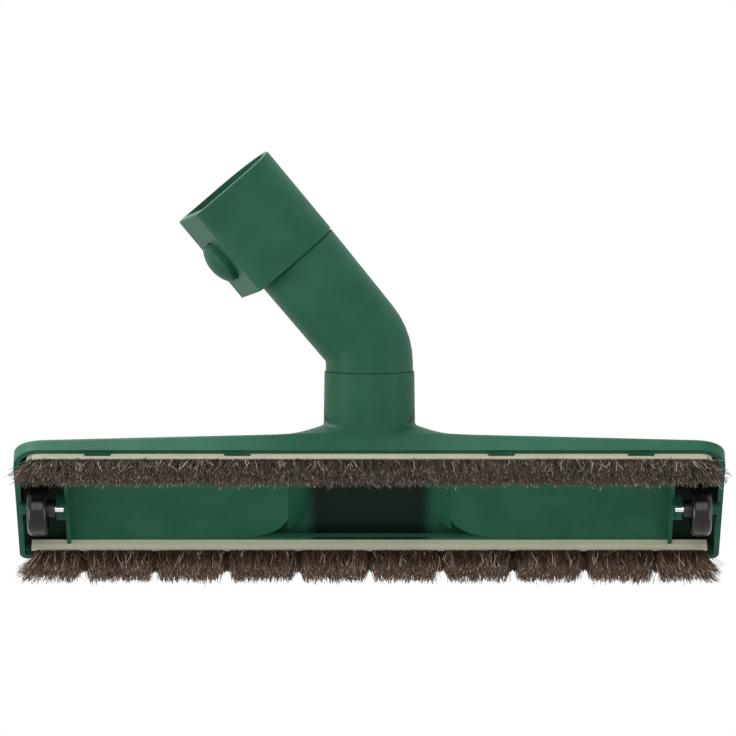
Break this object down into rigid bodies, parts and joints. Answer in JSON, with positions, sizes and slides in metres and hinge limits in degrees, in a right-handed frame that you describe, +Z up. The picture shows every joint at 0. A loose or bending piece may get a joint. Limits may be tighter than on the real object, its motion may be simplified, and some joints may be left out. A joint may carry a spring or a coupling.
{
  "type": "vacuum floor brush head",
  "caption": "Wide flat vacuum cleaner floor head with hair strips and small wheels underneath, and a swivel elbow ending in an oval wand socket with a release button.",
  "frame": {"origin": "bottom centre of the whole part's box, on the floor that the hair tips and wheels stand on", "axes": "+X along the head, +Y to the head's front, +Z up from the floor"},
  "size_m": [0.36, 0.1844, 0.1474],
  "materials": {
    "green_plastic": "satin moulded plastic with a fine grain",
    "beige_plastic": "matte",
    "black_plastic": "satin",
    "black_tread": "satin soft tread",
    "bright_steel": "bright drawn steel",
    "brown_hair": "dull mixed dark and pale hair",
    "grey_felt": "felt"
  },
  "bodies": {
    "head": {"head_housing": "green_plastic", "sole_plate": "green_plastic", "rear_brush_strip": "beige_plastic", "front_brush_strip": "beige_plastic", "rear_core_wire": "bright_steel", "front_core_wire": "bright_steel", "rear_bristles": "brown_hair", "front_bristles": "brown_hair", "swivel_seal": "grey_felt", "left_wheel_axle": "bright_steel", "right_wheel_axle": "bright_steel"},
    "elbow": {"swivel_elbow": "green_plastic", "elbow_tube": "green_plastic", "retaining_ring": "bright_steel", "socket_base": "green_plastic", "socket_collar": "green_plastic", "socket_face": "green_plastic", "button_leaf_spring": "bright_steel"},
    "button": {"release_button": "green_plastic"},
    "left_wheel": {"left_wheel_tyre": "black_tread", "left_wheel_hub": "black_plastic"},
    "right_wheel": {"right_wheel_tyre": "black_tread", "right_wheel_hub": "black_plastic"}
  },
  "joints": [
    {"name": "elbow_swivel", "type": "hinge", "parent": "head", "child": "elbow", "pos_m": [0, 0.00033, 0.06467], "axis": [0, -0.7193, 0.6947], "continuous": true},
    {"name": "button_press", "type": "slide", "parent": "elbow", "child": "button", "axis": [0.73, -0.2519, 0.6354], "range_m": [0, 0.0025], "stiffness_N_per_m": 600, "springref_m": -0.004, "deforming": ["button_leaf_spring"]},
    {"name": "left_wheel_spin", "type": "hinge", "parent": "head", "child": "left_wheel", "pos_m": [-0.1688, 0.04908, 0.014], "axis": [1, 0, 0], "continuous": true},
    {"name": "right_wheel_spin", "type": "hinge", "parent": "head", "child": "right_wheel", "pos_m": [0.1688, 0.04908, 0.014], "axis": [1, 0, 0], "continuous": true}
  ]
}
